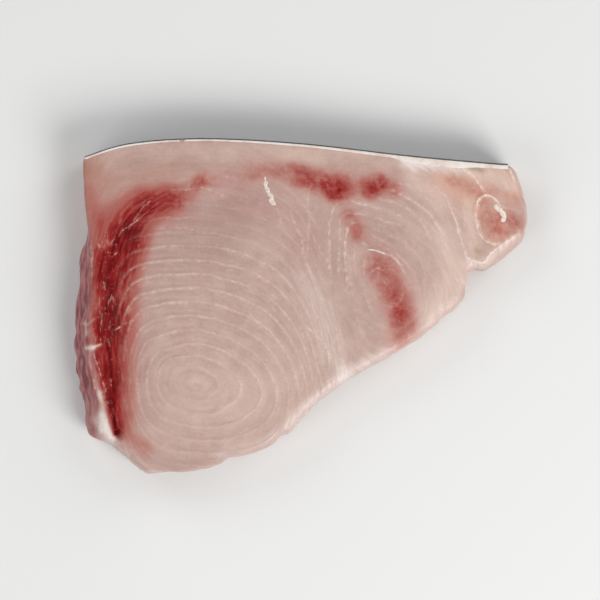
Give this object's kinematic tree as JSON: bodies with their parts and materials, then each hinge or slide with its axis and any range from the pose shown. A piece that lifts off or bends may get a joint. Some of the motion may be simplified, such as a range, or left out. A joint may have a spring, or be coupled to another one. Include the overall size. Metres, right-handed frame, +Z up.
{
  "type": "swordfish steak",
  "caption": "Raw swordfish steak, a thick triangular slice with nested flakes, a dark muscle along one side and skin along the back, lying flat on its lower cut face.",
  "frame": {"origin": "middle of the outer box on the plane of the lower cut face, which the steak lies on", "axes": "+X from the dark muscle towards the narrow tip, +Y towards the skin, +Z up out of the upper cut face"},
  "size_m": [0.1846, 0.1362, 0.0209],
  "materials": {
    "flesh": "moist"
  },
  "bodies": {
    "root": {"steak": "flesh"}
  },
  "joints": []
}
